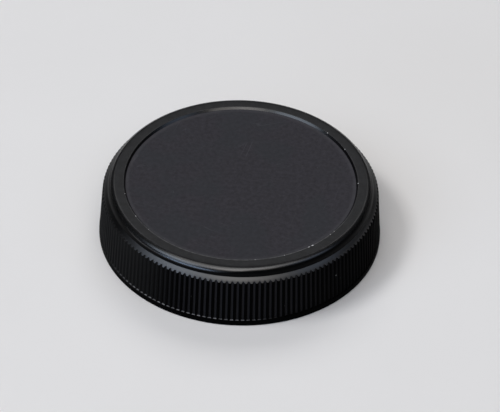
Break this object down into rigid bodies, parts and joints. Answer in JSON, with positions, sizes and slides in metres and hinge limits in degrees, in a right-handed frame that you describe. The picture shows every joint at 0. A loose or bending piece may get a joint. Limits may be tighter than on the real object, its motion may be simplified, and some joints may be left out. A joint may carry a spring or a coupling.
{
  "type": "rear lens cap",
  "caption": "Round black plastic rear lens cap: a shallow cup with a finely grooved grip, a raised rim round a recessed top panel, and inward bayonet lugs in its mouth.",
  "frame": {"origin": "centre of the mouth, on the plane of the foot that meets the lens flange", "axes": "+Z along the cap's axis, from the mouth to the recessed top panel; +X and +Y across it, with the lugs symmetric about the Y axis and one of them centred on -Y"},
  "size_m": [0.06, 0.06, 0.0141],
  "materials": {
    "cap_plastic": "satin moulded, lightly handled"
  },
  "bodies": {
    "root": {"rear_cap": "cap_plastic"}
  },
  "joints": []
}
